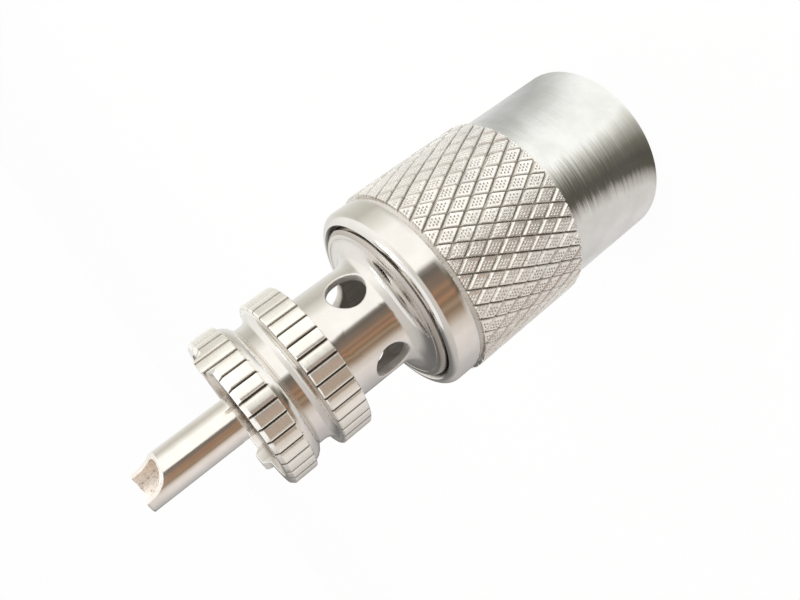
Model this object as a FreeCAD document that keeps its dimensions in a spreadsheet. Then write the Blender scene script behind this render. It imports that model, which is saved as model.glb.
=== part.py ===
import FreeCAD, Part
import math
import os
import Sketcher
from FreeCAD import Placement, Rotation, Vector

os.makedirs("parts", exist_ok=True)
doc = FreeCAD.newDocument("uhf_connector")


class Size:
    # A size that knows both its number and the text that ties it to the table.
    def __init__(self, value, text):
        self.value = float(value)
        self.text = text

    def __add__(self, other):
        other = as_size(other)
        return Size(self.value + other.value, "(%s + %s)" % (self.text, other.text))

    def __sub__(self, other):
        other = as_size(other)
        return Size(self.value - other.value, "(%s - %s)" % (self.text, other.text))

    def __neg__(self):
        return Size(-self.value, "(0 - %s)" % self.text)

    def __mul__(self, other):
        other = as_size(other)
        return Size(self.value * other.value, "(%s * %s)" % (self.text, other.text))


def as_size(thing):
    if isinstance(thing, Size):
        return thing
    return Size(thing, repr(float(thing)))


# Table of the driving dimensions, in millimetres
table = doc.addObject("Spreadsheet::Sheet", "dimensions")
row_count = 0


def dim(name, value):
    global row_count
    row_count += 1
    table.set("A%d" % row_count, name)
    table.set("B%d" % row_count, str(value))
    table.setAlias("B%d" % row_count, name)
    return Size(value, "dimensions." + name)


def follow(name, size):
    # A size that follows from others stands in the table as a formula.
    global row_count
    row_count += 1
    table.set("A%d" % row_count, name)
    table.set("B%d" % row_count, "=" + size.text.replace("dimensions.", ""))
    table.setAlias("B%d" % row_count, name)
    return Size(size.value, "dimensions." + name)


# Two standard sizes that everything else is built round: the thread and the centre pin
flange_radius = dim("flange_radius", 7.9375)
pin_radius = dim("pin_radius", 1.98)

# Coupling ring: stands on its flat rear face at height zero, mouth up
ring_length = dim("ring_length", 27.0)
thread_clearance = dim("thread_clearance", 0.1625)
ring_bore_radius = follow("ring_bore_radius", flange_radius + thread_clearance)
ring_wall = dim("ring_wall", 0.9)
ring_rear_radius = follow("ring_rear_radius", ring_bore_radius + ring_wall)
ring_rear_round = follow("ring_rear_round", ring_wall * 1.0)
ring_mouth_chamfer = dim("ring_mouth_chamfer", 0.35)
ring_mouth_land = dim("ring_mouth_land", 0.02)
ring_band_step = dim("ring_band_step", 0.3)
ring_band_radius = follow("ring_band_radius", ring_rear_radius + ring_band_step)
mouth_edge_radius = follow("mouth_edge_radius", ring_bore_radius + ring_mouth_chamfer * 0.8)
ring_band_round = follow(
    "ring_band_round", ring_band_radius - mouth_edge_radius - ring_mouth_land
)
ring_web_thickness = dim("ring_web_thickness", 3.2)
front_band_width = dim("front_band_width", 3.2)
knurl_length = dim("knurl_length", 12.2)
knurl_end = follow("knurl_end", ring_length - front_band_width)
knurl_start = follow("knurl_start", knurl_end - knurl_length)
knurl_stand = dim("knurl_stand", 0.6)
knurl_depth = dim("knurl_depth", 0.34)
knurl_crest_radius = follow("knurl_crest_radius", ring_rear_radius + knurl_stand)
knurl_valley_radius = follow("knurl_valley_radius", knurl_crest_radius - knurl_depth)
knurl_relief_width = dim("knurl_relief_width", 0.3)
knurl_columns = 40
knurl_rows = 9
knurl_flat = 0.62

# Plug body: heights are counted from the front face of its threaded flange
flange_proud = dim("flange_proud", 0.3)
flange_front = follow("flange_front", ring_length + flange_proud)
flange_thickness = dim("flange_thickness", 2.6)
flange_chamfer = dim("flange_chamfer", 0.3)
barrel_step = dim("barrel_step", 1.5875)
barrel_radius = follow("barrel_radius", flange_radius - barrel_step)
barrel_reach = dim("barrel_reach", 13.1)
barrel_clearance = dim("barrel_clearance", 0.3)
barrel_wall = dim("barrel_wall", 1.0)
cable_bore_radius = follow("cable_bore_radius", barrel_radius - barrel_wall)
cable_bore_stop = dim("cable_bore_stop", 2.1)
tube_step = dim("tube_step", 2.7875)
tube_radius = follow("tube_radius", flange_radius - tube_step)
tube_wall = dim("tube_wall", 0.8)
tube_bore_radius = follow("tube_bore_radius", tube_radius - tube_wall)
tube_fillet = dim("tube_fillet", 1.7)
solder_hole_radius = dim("solder_hole_radius", 1.75)
solder_hole_height = dim("solder_hole_height", 3.0)
head_step = dim("head_step", 2.1)
head_radius = follow("head_radius", tube_radius + head_step)
rear_row_start = dim("rear_row_start", 7.3)
rear_row_width = dim("rear_row_width", 2.9)
rear_row_end = follow("rear_row_end", rear_row_start + rear_row_width)
neck_length = dim("neck_length", 2.8)
front_row_start = follow("front_row_start", rear_row_end + neck_length)
front_row_width = dim("front_row_width", 2.55)
front_row_end = follow("front_row_end", front_row_start + front_row_width)
front_chamfer = dim("front_chamfer", 0.35)
head_edge = dim("head_edge", 0.25)
shoulder_step = dim("shoulder_step", 0.4)
shoulder_radius = follow("shoulder_radius", head_radius - shoulder_step)
neck_step = dim("neck_step", 1.33)
neck_radius = follow("neck_radius", head_radius - neck_step)
neck_fillet = dim("neck_fillet", 1.0)
cup_wall = dim("cup_wall", 1.05)
cup_radius = follow("cup_radius", head_radius - cup_wall)
cup_step = dim("cup_step", 1.1)
head_bore_radius = follow("head_bore_radius", cup_radius - cup_step)
head_bore_start = follow("head_bore_start", rear_row_end - 0.7)
head_bore_end = follow("head_bore_end", front_row_start + 0.2)
groove_count = 36
groove_depth = dim("groove_depth", 0.32)
groove_width = dim("groove_width", 0.38)
tooth_flat = dim("tooth_flat", 1.3)
tooth_flank = dim("tooth_flank", 0.5)
tooth_width = follow("tooth_width", tooth_flat + tooth_flank * 2.0)
tooth_height = dim("tooth_height", 0.6)
tooth_angle = 6.5

# Insulator and centre contact
seat_gap = dim("seat_gap", 0.01)
insulator_heel = dim("insulator_heel", 1.5)
insulator_rear = follow("insulator_rear", head_bore_start - insulator_heel)
pin_wall = dim("pin_wall", 0.48)
pin_bore_radius = follow("pin_bore_radius", pin_radius - pin_wall)
pin_seat_step = dim("pin_seat_step", 0.2)
pin_seat_radius = follow("pin_seat_radius", pin_radius - pin_seat_step)
pin_root_gap = dim("pin_root_gap", 0.1)
pin_reach = dim("pin_reach", 9.35)
pin_tip = follow("pin_tip", front_row_end + pin_reach)
pin_collar_step = dim("pin_collar_step", 0.72)
pin_collar_radius = follow("pin_collar_radius", pin_radius + pin_collar_step)
pin_collar_length = dim("pin_collar_length", 0.8)
notch_radius = dim("notch_radius", 2.25)
notch_gap = dim("notch_gap", 0.52)
notch_offset = follow("notch_offset", pin_radius + notch_gap)
notch_drop = dim("notch_drop", 0.2)
notch_angle = -77.0
doc.recompute()


# Helpers for sketches
def origin_plane(body, role):
    for item in body.Origin.OriginFeatures:
        if item.Role == role:
            return item
    raise ValueError(role)


def new_sketch(body, name, role, offset=None):
    sketch = body.newObject("Sketcher::SketchObject", name)
    sketch.AttachmentSupport = [(origin_plane(body, role), "")]
    sketch.MapMode = "FlatFace"
    if offset is not None:
        sketch.AttachmentOffset = offset
    doc.recompute()
    return sketch


def arc_middle(first, last, radius, side):
    dx = last[0] - first[0]
    dy = last[1] - first[1]
    chord = math.hypot(dx, dy)
    sag = radius - math.sqrt(max(radius * radius - chord * chord / 4.0, 0.0))
    return Vector(
        (first[0] + last[0]) / 2.0 + side * sag * dy / chord,
        (first[1] + last[1]) / 2.0 - side * sag * dx / chord,
        0,
    )


def bind(sketch, kind, first, first_end, second, second_end, size):
    if size.value < 0:
        size = -size
        first, first_end, second, second_end = second, second_end, first, first_end
    number = sketch.addConstraint(
        Sketcher.Constraint(kind, first, first_end, second, second_end, size.value)
    )
    sketch.setExpression("Constraints[%d]" % number, size.text)


def outline(sketch, corners):
    # Each corner is (across, up) or (across, up, radius, side) for an arc to the next corner.
    count = len(corners)
    places = [(as_size(c[0]), as_size(c[1])) for c in corners]
    numbers = [(p[0].value, p[1].value) for p in places]
    starts = []
    ends = []
    for i in range(count):
        a = numbers[i]
        b = numbers[(i + 1) % count]
        start = Vector(a[0], a[1], 0)
        end = Vector(b[0], b[1], 0)
        if len(corners[i]) > 2:
            radius = as_size(corners[i][2])
            middle = arc_middle(a, b, radius.value, corners[i][3])
            edge = sketch.addGeometry(Part.Arc(start, middle, end), False)
            flipped = sketch.getPoint(edge, 1).distanceToPoint(start) > 1e-6
            starts.append((edge, 2 if flipped else 1))
            ends.append((edge, 1 if flipped else 2))
        else:
            edge = sketch.addGeometry(Part.LineSegment(start, end), False)
            starts.append((edge, 1))
            ends.append((edge, 2))
    for i in range(count):
        before = ends[i - 1]
        after = starts[i]
        sketch.addConstraint(
            Sketcher.Constraint("Coincident", before[0], before[1], after[0], after[1])
        )
        for kind, axis, size in (
            ("DistanceX", -2, places[i][0]),
            ("DistanceY", -1, places[i][1]),
        ):
            if abs(size.value) < 1e-9:
                sketch.addConstraint(
                    Sketcher.Constraint("PointOnObject", after[0], after[1], axis)
                )
            else:
                bind(sketch, kind, -1, 1, after[0], after[1], size)
        if len(corners[i]) > 2:
            number = sketch.addConstraint(
                Sketcher.Constraint("Radius", after[0], as_size(corners[i][2]).value)
            )
            sketch.setExpression("Constraints[%d]" % number, as_size(corners[i][2]).text)
    doc.recompute()


def turned(body, name, corners):
    sketch = new_sketch(body, name + "_profile", "XZ_Plane")
    outline(sketch, corners)
    solid = body.newObject("PartDesign::Revolution", name)
    solid.Profile = sketch
    solid.ReferenceAxis = (sketch, ["V_Axis"])
    solid.Angle = 360.0
    body.Tip = solid
    sketch.Visibility = False
    doc.recompute()
    return solid


def check_removed(body, before, what):
    if not body.Shape.Volume < before - 1e-3:
        raise RuntimeError(what + " removed nothing")


# Plug body: one piece turned from bar
def up(height):
    return flange_front + height


body = doc.addObject("PartDesign::Body", "plug_body")
body.Label = "plug_body"
barrel_end = flange_front - barrel_reach
turned(
    body,
    "plug_turning",
    [
        (cable_bore_radius + 0.4, barrel_end),
        (barrel_radius - 0.3, barrel_end),
        (barrel_radius, barrel_end + 0.3),
        (barrel_radius, flange_front - flange_thickness),
        (flange_radius - flange_chamfer, flange_front - flange_thickness),
        (flange_radius, flange_front - flange_thickness + flange_chamfer),
        (flange_radius, flange_front - flange_chamfer),
        (flange_radius - flange_chamfer, flange_front),
        (tube_radius + tube_fillet, flange_front, tube_fillet, -1),
        (tube_radius, up(tube_fillet)),
        (tube_radius, up(rear_row_start)),
        (head_radius - head_edge, up(rear_row_start)),
        (head_radius, up(rear_row_start + head_edge)),
        (head_radius, up(rear_row_end - head_edge)),
        (head_radius - head_edge, up(rear_row_end)),
        (neck_radius + neck_fillet, up(rear_row_end), neck_fillet, -1),
        (neck_radius, up(rear_row_end + neck_fillet)),
        (neck_radius, up(front_row_start - 1.1)),
        (neck_radius + 0.25, up(front_row_start - 1.0), 1.6, 1),
        (shoulder_radius, up(front_row_start)),
        (head_radius - head_edge, up(front_row_start)),
        (head_radius, up(front_row_start + head_edge)),
        (head_radius, up(front_row_end - front_chamfer)),
        (head_radius - front_chamfer, up(front_row_end)),
        (cup_radius, up(front_row_end)),
        (cup_radius, up(head_bore_end)),
        (head_bore_radius, up(head_bore_end)),
        (head_bore_radius, up(head_bore_start)),
        (tube_bore_radius, up(head_bore_start)),
        (tube_bore_radius, flange_front - cable_bore_stop + 1.0),
        (cable_bore_radius, flange_front - cable_bore_stop),
        (cable_bore_radius, barrel_end + 0.4),
    ],
)

# Two register teeth on the front rim, opposite one another
tooth_place = Placement(Vector(0, 0, 0), Rotation(Vector(0, 1, 0), tooth_angle))
tooth_sketch = new_sketch(body, "tooth_profile", "XZ_Plane", tooth_place)
tooth_foot = up(front_row_end) - 0.3
tooth_top = up(front_row_end) + tooth_height
outline(
    tooth_sketch,
    [
        (tooth_width * -0.5, tooth_foot),
        (tooth_width * 0.5, tooth_foot),
        (tooth_flat * 0.5, tooth_top),
        (tooth_flat * -0.5, tooth_top),
    ],
)
tooth_pad = body.newObject("PartDesign::Pad", "register_teeth")
tooth_pad.Profile = tooth_sketch
tooth_pad.Midplane = True
tooth_pad.Length = 2.0 * (head_radius.value + 0.5)
body.Tip = tooth_pad
tooth_sketch.Visibility = False
doc.recompute()

# The bar between the teeth goes, and their outside is turned with the head
volume = body.Shape.Volume
for name, inner, outer, low in (
    ("teeth_inside", None, cup_radius, up(head_bore_end)),
    ("teeth_outside", head_radius, head_radius + 1.0, tooth_foot - 0.1),
):
    inside = as_size(0.0) if inner is None else inner
    trim_sketch = new_sketch(body, name + "_profile", "XZ_Plane")
    outline(
        trim_sketch,
        [
            (inside, low),
            (outer, low),
            (outer, tooth_top + 1.0),
            (inside, tooth_top + 1.0),
        ],
    )
    trim = body.newObject("PartDesign::Groove", name)
    trim.Profile = trim_sketch
    trim.ReferenceAxis = (trim_sketch, ["V_Axis"])
    trim.Angle = 360.0
    body.Tip = trim
    trim_sketch.Visibility = False
    doc.recompute()
check_removed(body, volume, "Trimming the teeth")

# Straight knurl on both rows of the head
volume = body.Shape.Volume
knurl_place = Placement(Vector(0, 0, tooth_top.value + 1.0), Rotation())
groove_sketch = new_sketch(body, "groove_profile", "XY_Plane", knurl_place)
groove_sketch.setExpression("AttachmentOffset.Base.z", (tooth_top + 1.0).text)
outline(
    groove_sketch,
    [
        (head_radius - groove_depth, 0.0),
        (head_radius + groove_depth, groove_width * 0.85),
        (head_radius + groove_depth, groove_width * -0.85),
    ],
)
groove = body.newObject("PartDesign::Pocket", "knurl_groove")
groove.Profile = groove_sketch
groove.setExpression("Length", (tooth_top + 1.0 - up(rear_row_start) + 0.5).text)
doc.recompute()
check_removed(body, volume, "The knurl groove")
row_pattern = body.newObject("PartDesign::PolarPattern", "straight_knurl")
row_pattern.Originals = [groove]
row_pattern.Axis = (groove_sketch, ["N_Axis"])
row_pattern.Angle = 360.0
row_pattern.Occurrences = groove_count
body.Tip = row_pattern
groove_sketch.Visibility = False
doc.recompute()

# Four solder holes, drilled as two crossing pairs
for name, role in (("solder_holes_y", "XZ_Plane"), ("solder_holes_x", "YZ_Plane")):
    volume = body.Shape.Volume
    hole_sketch = new_sketch(body, name + "_profile", role)
    edge = hole_sketch.addGeometry(
        Part.Circle(
            Vector(0, up(solder_hole_height).value, 0), Vector(0, 0, 1), solder_hole_radius.value
        ),
        False,
    )
    hole_sketch.addConstraint(Sketcher.Constraint("PointOnObject", edge, 3, -2))
    bind(hole_sketch, "DistanceY", -1, 1, edge, 3, up(solder_hole_height))
    number = hole_sketch.addConstraint(
        Sketcher.Constraint("Radius", edge, solder_hole_radius.value)
    )
    hole_sketch.setExpression("Constraints[%d]" % number, solder_hole_radius.text)
    hole = body.newObject("PartDesign::Pocket", name)
    hole.Profile = hole_sketch
    hole.Midplane = True
    hole.Length = 40.0
    body.Tip = hole
    hole_sketch.Visibility = False
    doc.recompute()
    check_removed(body, volume, name)

# Insulator: stepped bush moulded round the waist of the contact, seated on the head's shoulder
insulator = doc.addObject("PartDesign::Body", "insulator")
insulator.Label = "insulator"
turned(
    insulator,
    "insulator_turning",
    [
        (pin_seat_radius + seat_gap, up(insulator_rear)),
        (tube_bore_radius - seat_gap, up(insulator_rear)),
        (tube_bore_radius - seat_gap, up(head_bore_start)),
        (head_bore_radius - seat_gap, up(head_bore_start)),
        (head_bore_radius - seat_gap, up(head_bore_end)),
        (pin_seat_radius + seat_gap, up(head_bore_end)),
    ],
)

# Centre contact: hollow pin with a waist that locks it in the insulator, a collar behind
# the insulator and a scooped tip
contact = doc.addObject("PartDesign::Body", "centre_contact")
contact.Label = "centre_contact"
turned(
    contact,
    "contact_turning",
    [
        (pin_bore_radius, up(insulator_rear) - pin_collar_length),
        (pin_collar_radius, up(insulator_rear) - pin_collar_length),
        (pin_collar_radius, up(insulator_rear)),
        (pin_seat_radius, up(insulator_rear)),
        (pin_seat_radius, up(head_bore_end)),
        (pin_radius, up(head_bore_end + pin_root_gap)),
        (pin_radius, up(pin_tip)),
        (pin_bore_radius, up(pin_tip)),
    ],
)
volume = contact.Shape.Volume
notch_place = Placement(Vector(0, 0, 0), Rotation(Vector(0, 1, 0), notch_angle))
notch_sketch = new_sketch(contact, "notch_profile", "XZ_Plane", notch_place)
notch_height = up(pin_tip) - notch_drop
edge = notch_sketch.addGeometry(
    Part.Circle(
        Vector(notch_offset.value, notch_height.value, 0), Vector(0, 0, 1), notch_radius.value
    ),
    False,
)
bind(notch_sketch, "DistanceX", -1, 1, edge, 3, notch_offset)
bind(notch_sketch, "DistanceY", -1, 1, edge, 3, notch_height)
number = notch_sketch.addConstraint(Sketcher.Constraint("Radius", edge, notch_radius.value))
notch_sketch.setExpression("Constraints[%d]" % number, notch_radius.text)
notch = contact.newObject("PartDesign::Pocket", "tip_notch")
notch.Profile = notch_sketch
notch.Midplane = True
notch.Length = 20.0
contact.Tip = notch
notch_sketch.Visibility = False
doc.recompute()
check_removed(contact, volume, "The tip notch")

# Coupling ring: the turned core
core = doc.addObject("PartDesign::Body", "ring_core")
core.Label = "ring_core"
web_hole_radius = barrel_radius + barrel_clearance
turned(
    core,
    "ring_turning",
    [
        (web_hole_radius, 0.3),
        (web_hole_radius + 0.3, 0.0),
        (ring_rear_radius - ring_rear_round, 0.0, ring_rear_round, 1),
        (ring_rear_radius, ring_rear_round),
        (ring_rear_radius, knurl_end + knurl_relief_width),
        (ring_band_radius, knurl_end + knurl_relief_width + 0.12),
        (ring_band_radius, ring_length - ring_band_round, ring_band_round, 1),
        (ring_band_radius - ring_band_round, ring_length),
        (mouth_edge_radius, ring_length),
        (ring_bore_radius, ring_length - ring_mouth_chamfer),
        (ring_bore_radius, ring_web_thickness),
        (web_hole_radius, ring_web_thickness),
    ],
)


# Diamond knurl: crossed grooves leave rows of flat-topped diamonds
def knurl_mesh(low, high, valley, crest, inner):
    step = 2.0 * math.pi / knurl_columns
    rise = (high - low) / knurl_rows
    flat = knurl_flat
    points = []
    index = {}
    facets = []

    def point(radius, turn, height):
        turn = turn % knurl_columns
        key = (round(radius, 5), round(turn, 5), round(height, 5))
        if key not in index:
            angle = turn * step
            index[key] = len(points)
            points.append((radius * math.cos(angle), radius * math.sin(angle), height))
        return index[key]

    def quad(a, b, c, d):
        facets.append((a, b, c))
        facets.append((a, c, d))

    for row in range(knurl_rows + 1):
        height = low + row * rise
        shift = 0.5 * (row % 2)
        for column in range(knurl_columns):
            middle = column + shift
            left = point(valley, middle - 0.5, height)
            right = point(valley, middle + 0.5, height)
            crest_left = point(crest, middle - 0.5 * flat, height)
            crest_right = point(crest, middle + 0.5 * flat, height)
            if row < knurl_rows:
                top = point(valley, middle, height + rise)
                crest_top = point(crest, middle, height + rise * flat)
                facets.append((crest_left, crest_right, crest_top))
                quad(left, crest_left, crest_top, top)
                quad(crest_right, right, top, crest_top)
            if row > 0:
                bottom = point(valley, middle, height - rise)
                crest_bottom = point(crest, middle, height - rise * flat)
                facets.append((crest_left, crest_bottom, crest_right))
                quad(crest_left, left, bottom, crest_bottom)
                quad(right, crest_right, crest_bottom, bottom)
            if row in (0, knurl_rows):
                inner_left = point(inner, middle - 0.5, height)
                inner_right = point(inner, middle + 0.5, height)
                strips = [
                    (inner_left, crest_left, left),
                    (inner_left, inner_right, crest_left),
                    (inner_right, crest_right, crest_left),
                    (inner_right, right, crest_right),
                ]
                for strip in strips:
                    facets.append(strip if row == 0 else (strip[0], strip[2], strip[1]))
    for column in range(knurl_columns):
        offset = 0.5 * (knurl_rows % 2)
        low_left = point(inner, column - 0.5, low)
        low_right = point(inner, column + 0.5, low)
        high_left = point(inner, column - 0.5 + offset, high)
        high_right = point(inner, column + 0.5 + offset, high)
        facets.append((low_left, high_left, low_right))
        facets.append((low_right, high_left, high_right))
    return points, facets


knurl_inner = ring_rear_radius.value - 0.4
points, facets = knurl_mesh(
    knurl_start.value,
    knurl_end.value,
    knurl_valley_radius.value,
    knurl_crest_radius.value,
    knurl_inner,
)
knurl_shape = Part.Shape()
knurl_shape.makeShapeFromMesh(([Vector(*p) for p in points], facets), 0.0005)
knurl_solid = Part.Solid(Part.Shell(knurl_shape.Faces))
if knurl_solid.Volume < 0:
    knurl_solid.reverse()
knurl = doc.addObject("Part::Feature", "diamond_knurl")
knurl.Label = "diamond_knurl"
knurl.Shape = knurl_solid

ring = doc.addObject("Part::Fuse", "coupling_ring")
ring.Label = "coupling_ring"
ring.Base = core
ring.Tool = knurl
ring.Refine = False
doc.recompute()

# Every object is sound before anything is written
for item in doc.Objects:
    if "Invalid" in item.State or "Error" in item.State:
        raise RuntimeError(item.Label + " did not build: " + str(item.State))
for item in (ring, body, insulator, contact):
    shape = item.Shape
    if shape.isNull() or not shape.isValid() or len(shape.Solids) != 1:
        raise RuntimeError(item.Label + " is not one valid solid")
    shape.exportStep("parts/%s.step" % item.Label)
    box = shape.BoundBox
    print(
        "%s volume %.2f faces %d x %.3f..%.3f z %.3f..%.3f"
        % (item.Label, shape.Volume, len(shape.Faces), box.XMin, box.XMax, box.ZMin, box.ZMax)
    )
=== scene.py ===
# %% [markdown]
# # A nickel-plated cable plug
# This lesson dresses the packed model of a UHF cable plug. The plug stands on the rear face
# of its coupling ring with the centre pin up. The packed model gives the true sizes. Here we
# make finer meshes for the turned pieces, give them plated finishes, and light them so that
# the long cylinders show a bright side and a dark side, as polished metal does.

# %% Load the packed model
import math

import bmesh
import bpy
import numpy as np
from mathutils import Matrix, Vector


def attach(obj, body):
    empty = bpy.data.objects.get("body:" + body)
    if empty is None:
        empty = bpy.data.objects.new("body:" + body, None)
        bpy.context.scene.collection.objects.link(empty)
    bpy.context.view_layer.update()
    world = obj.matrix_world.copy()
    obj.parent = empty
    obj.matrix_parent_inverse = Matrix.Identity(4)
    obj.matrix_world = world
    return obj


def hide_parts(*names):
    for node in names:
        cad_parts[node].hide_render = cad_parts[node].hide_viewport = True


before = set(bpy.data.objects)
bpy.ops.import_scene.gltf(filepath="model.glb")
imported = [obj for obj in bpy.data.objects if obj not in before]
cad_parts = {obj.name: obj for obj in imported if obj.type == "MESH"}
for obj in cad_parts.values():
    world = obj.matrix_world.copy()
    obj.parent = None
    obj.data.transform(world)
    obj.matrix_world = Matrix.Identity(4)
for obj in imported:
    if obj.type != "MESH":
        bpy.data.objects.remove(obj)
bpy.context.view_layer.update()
MM = 0.001
print("nodes:", sorted(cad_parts))

# %% [markdown]
# ## Sizes shared by the pieces
# These are sizes of the solids, in millimetres. The front face of the flange is the natural
# zero for the plug body, because everything on the body is measured from there.

# %% Shared sizes
FLANGE_Z, FLANGE_R = 27.3, 7.9375
HEAD_R = 7.25
TUBE_R, TUBE_BORE_R, TUBE_FILLET = 5.15, 4.35, 1.7
PITCH = 25.4 / 24.0


def body_z(height):
    return FLANGE_Z + height


print("thread pitch", round(PITCH, 4), "mm")

# %% [markdown]
# ## A profile with softened corners
# A turned piece is a flat outline swept round an axis. No real edge is perfectly sharp: the
# plating alone rounds it, and that tiny round is what catches the light. So each corner of an
# outline may carry a radius, and the helper puts a short arc there.


# %% Helper: round the corners of an outline
def soften(corners, steps=3):
    points = []
    for i, corner in enumerate(corners):
        here = np.array(corner[:2], float)
        radius = corner[2] if len(corner) > 2 else 0.0
        if radius <= 0.0 or i in (0, len(corners) - 1):
            points.append(here)
            continue
        back = np.array(corners[i - 1][:2], float) - here
        ahead = np.array(corners[i + 1][:2], float) - here
        back_length, ahead_length = np.linalg.norm(back), np.linalg.norm(ahead)
        back, ahead = back / back_length, ahead / ahead_length
        half = 0.5 * math.acos(float(np.clip(back @ ahead, -1.0, 1.0)))
        reach = min(radius / math.tan(half), 0.45 * back_length, 0.45 * ahead_length)
        true_radius = reach * math.tan(half)
        middle = (back + ahead) / np.linalg.norm(back + ahead)
        centre = here + middle * true_radius / math.sin(half)
        start = here + back * reach - centre
        end = here + ahead * reach - centre
        turn = math.atan2(start[0] * end[1] - start[1] * end[0], float(start @ end))
        for k in range(steps + 1):
            a = turn * k / steps
            spun = (
                start[0] * math.cos(a) - start[1] * math.sin(a),
                start[0] * math.sin(a) + start[1] * math.cos(a),
            )
            points.append(centre + np.array(spun))
    return np.array(points)


def arc(centre, radius, first, last, steps):
    turns = np.radians(np.linspace(first, last, steps + 1))
    return [
        (centre[0] + radius * math.cos(a), centre[1] + radius * math.sin(a)) for a in turns
    ]


print("softened square corner:", len(soften([(0, 0), (1, 0, 0.1), (1, 1)])), "points")

# %% [markdown]
# ## Loops and skins
# Every piece below is a stack of loops, each loop a ring of points round the axis. A skin of
# four-sided faces joins one loop to the next. Where a fine loop meets a coarse one, a band of
# triangles joins them, so the mesh stays closed and each region has only the faces it needs.
# Points nearer than WELD metres to one another become one at the end.


# %% Helper: a mesh that grows loop by loop
WELD, SLIVER = 2e-7, 1e-7


def new_object(name, data):
    obj = bpy.data.objects.new(name, data)
    bpy.context.scene.collection.objects.link(obj)
    return obj


class LoopMesh:
    def __init__(self):
        self.points = []
        self.faces = []
        self.depth = []
        self.count = 0

    def add(self, points, depth=1.0):
        points = np.asarray(points, float).reshape(-1, 3)
        start = self.count
        self.points.append(points)
        self.depth.append(np.broadcast_to(np.ravel(depth), (len(points),)))
        self.count += len(points)
        return np.arange(start, self.count)

    def loop(self, radius, height, turns, depth=1.0):
        radius = np.broadcast_to(radius, turns.shape)
        height = np.broadcast_to(height, turns.shape)
        points = np.stack([radius * np.cos(turns), radius * np.sin(turns), height], axis=1)
        return self.add(points, depth)

    def skin(self, low, high):
        after_low, after_high = np.roll(low, -1), np.roll(high, -1)
        self.faces += np.stack([low, after_low, after_high, high], axis=1).tolist()

    def cover(self, loops, flip=False):
        for low, high in zip(loops[:-1], loops[1:]):
            if flip:
                low, high = high, low
            self.skin(low, high)

    def stitch(self, first, second):
        """Join two loops that have different numbers of points, always by the nearer turn."""
        places = np.concatenate(self.points)
        turns = []
        for loop in (first, second):
            x, y = places[loop, 0], places[loop, 1]
            turn = np.unwrap(np.arctan2(y, x))
            turns.append(np.append(turn, turn[0] + 2.0 * math.pi))
        turns[1] += 2.0 * math.pi * round((turns[0][0] - turns[1][0]) / (2.0 * math.pi))
        i = j = 0
        while i < len(first) or j < len(second):
            a, b = first[i % len(first)], second[j % len(second)]
            step_first = j == len(second) or (i < len(first) and turns[0][i + 1] <= turns[1][j + 1])
            if step_first:
                i += 1
                self.faces.append([a, first[i % len(first)], b])
            else:
                j += 1
                self.faces.append([a, second[j % len(second)], b])

    def build(self, name, sharp):
        mesh = bpy.data.meshes.new(name)
        points = np.concatenate(self.points) * MM
        mesh.from_pydata(points.tolist(), [], self.faces)
        # The depth values are stored as painted shade: the platings darken their colour by them,
        # and the pin's finish reads them as inside or outside.
        layer = mesh.attributes.new("cavity", "FLOAT", "POINT")
        layer.data.foreach_set("value", np.concatenate(self.depth).astype(np.float32))
        work = bmesh.new()
        work.from_mesh(mesh)
        bmesh.ops.remove_doubles(work, verts=work.verts, dist=WELD)
        bmesh.ops.dissolve_degenerate(work, edges=work.edges, dist=SLIVER)
        bmesh.ops.recalc_face_normals(work, faces=work.faces)
        open_edges = sum(1 for e in work.edges if not e.is_manifold)
        if work.calc_volume(signed=True) < 0:
            bmesh.ops.reverse_faces(work, faces=work.faces)
        work.to_mesh(mesh)
        work.free()
        mesh.polygons.foreach_set("use_smooth", [True] * len(mesh.polygons))
        mesh.set_sharp_from_angle(angle=math.radians(sharp))
        mesh.update()
        mesh.calc_loop_triangles()
        print(name, "triangles", len(mesh.loop_triangles), "open edges", open_edges)
        return new_object(name, mesh)


# %% [markdown]
# ## Nickel plating
# Nickel plate is a slightly warm, pale metal. What makes it read as turned metal is the lay of
# the tool marks: fine rings that run round the axis. The texture space below gives that for
# free: it varies quickly along the axis and outward, and slowly from side to side, so noise
# drawn in it becomes rings. A second, broad noise gives patches where the plate is duller. The
# shade value stored in the mesh is 1 in the open and falls to 0 in grooves and holes, where the
# colour is darkened as painted shade and the plate is rougher.


# %% Helper: node building
OUTWARD_SHARE = 0.7


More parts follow.
